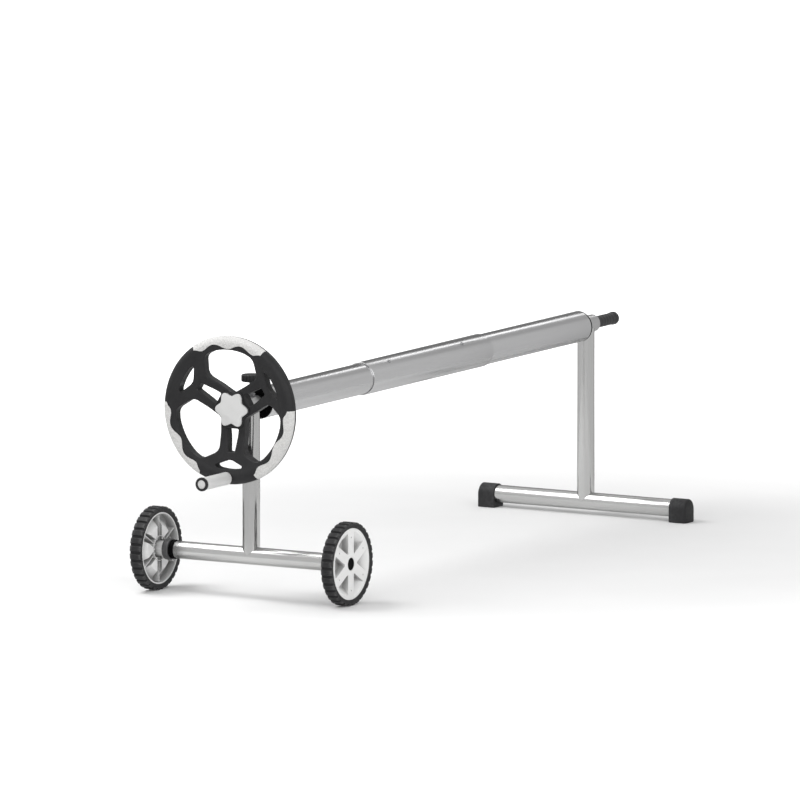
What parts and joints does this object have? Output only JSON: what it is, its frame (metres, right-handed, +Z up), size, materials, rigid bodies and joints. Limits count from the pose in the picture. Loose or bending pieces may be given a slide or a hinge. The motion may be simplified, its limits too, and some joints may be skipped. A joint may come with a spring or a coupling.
{
  "type": "pool cover reel",
  "caption": "Telescopic pool cover reel: a handwheel stand on road wheels and a footed stand with a lifting handle carry an extending tube that rolls up a cover.",
  "frame": {"origin": "on the floor, under the middle of the whole reel's length and width", "axes": "+X along the reel from the handwheel to the lifting handle, +Y across it, +Z up"},
  "size_m": [1.976, 0.5776, 0.6403],
  "materials": {
    "stand_steel": "polished stainless tube",
    "housing_metal": "matt brushed tube",
    "fastener_steel": "plain zinc-plated steel",
    "reel_aluminium": "satin anodised tube",
    "black_plastic": "fine satin moulding",
    "grey_plastic": "light grey satin moulding",
    "soft_grip": "soft light grey moulding with fine pimples",
    "grip_rubber": "ribbed black rubber",
    "tyre_rubber": "matt black rubber"
  },
  "bodies": {
    "near_stand": {"near_upright": "stand_steel", "axle_tube": "stand_steel", "near_housing": "housing_metal", "near_outer_bush": "black_plastic", "near_inner_bush": "black_plastic", "lock_nut": "fastener_steel", "left_axle_plug": "black_plastic", "right_axle_plug": "black_plastic", "left_axle_bolt": "fastener_steel", "right_axle_bolt": "fastener_steel"},
    "left_wheel": {"left_tyre": "tyre_rubber", "left_wheel_hub": "grey_plastic", "left_hub_cap": "black_plastic"},
    "right_wheel": {"right_tyre": "tyre_rubber", "right_wheel_hub": "grey_plastic", "right_hub_cap": "black_plastic"},
    "reel": {"near_tube": "reel_aluminium", "near_end_cap": "black_plastic", "near_shaft": "fastener_steel", "near_shaft_pin": "fastener_steel", "handwheel": "black_plastic", "left_rim_grip": "soft_grip", "right_rim_grip": "soft_grip", "top_rim_grip": "soft_grip", "crank_bolt": "fastener_steel"},
    "nut_washer": {"wheel_nut_washer": "fastener_steel"},
    "wheel_nut": {"star_knob": "grey_plastic"},
    "crank": {"crank_grip": "grey_plastic", "crank_end_ring": "black_plastic", "crank_end_cap": "grey_plastic"},
    "pad": {"lock_pad": "fastener_steel"},
    "lock": {"lock_bolt": "fastener_steel", "lock_knob": "black_plastic"},
    "slide_sleeve": {"sleeve": "reel_aluminium", "near_sleeve_screw": "fastener_steel", "far_sleeve_screw": "fastener_steel"},
    "far_reel": {"far_tube": "reel_aluminium", "far_end_cap": "black_plastic", "far_shaft": "fastener_steel", "far_shaft_pin": "fastener_steel"},
    "far_stand": {"far_upright": "stand_steel", "base_tube": "stand_steel", "far_housing": "housing_metal", "far_inner_bush": "black_plastic", "handle_core": "fastener_steel", "handle_grip": "grip_rubber", "left_foot": "black_plastic", "right_foot": "black_plastic"}
  },
  "joints": [
    {"name": "left_wheel_spin", "type": "hinge", "parent": "near_stand", "child": "left_wheel", "pos_m": [-0.752, 0.263, 0.1], "axis": [0, 1, 0], "continuous": true},
    {"name": "right_wheel_spin", "type": "hinge", "parent": "near_stand", "child": "right_wheel", "pos_m": [-0.752, -0.263, 0.1], "axis": [0, 1, 0], "continuous": true},
    {"name": "reel_spin", "type": "hinge", "parent": "near_stand", "child": "reel", "pos_m": [-0.752, 0, 0.462], "axis": [1, 0, 0], "continuous": true},
    {"name": "crank_grip_spin", "type": "hinge", "parent": "reel", "child": "crank", "pos_m": [-0.92, 0, 0.30025], "axis": [1, 0, 0], "continuous": true},
    {"name": "wheel_nut_travel", "type": "slide", "parent": "reel", "child": "nut_washer", "axis": [-1, 0, 0], "range_m": [0, 0.0035]},
    {"name": "wheel_nut_turn", "type": "hinge", "parent": "nut_washer", "child": "wheel_nut", "pos_m": [-0.842, 0, 0.462], "axis": [-1, 0, 0], "range_deg": [0, 720]},
    {"name": "lock_pad_travel", "type": "slide", "parent": "near_stand", "child": "pad", "axis": [0, 0, 1], "range_m": [0, 0.003]},
    {"name": "lock_knob_turn", "type": "hinge", "parent": "pad", "child": "lock", "pos_m": [-0.752, 0, 0.5], "axis": [0, 0, 1], "range_deg": [0, 720]},
    {"name": "sleeve_slide", "type": "slide", "parent": "reel", "child": "slide_sleeve", "axis": [1, 0, 0], "range_m": [0, 0.19]},
    {"name": "far_tube_slide", "type": "slide", "parent": "slide_sleeve", "child": "far_reel", "axis": [1, 0, 0], "range_m": [0, 0.19]},
    {"name": "far_stand_swivel", "type": "hinge", "parent": "far_reel", "child": "far_stand", "pos_m": [0.852, 0, 0.462], "axis": [1, 0, 0], "continuous": true}
  ],
  "couplings": [
    {"joint": "far_stand_swivel", "follows": "reel_spin", "ratio": -1},
    {"joint": "wheel_nut_travel", "follows": "wheel_nut_turn", "m_per_rad": 0.00027852},
    {"joint": "lock_pad_travel", "follows": "lock_knob_turn", "m_per_rad": 0.00023873}
  ]
}
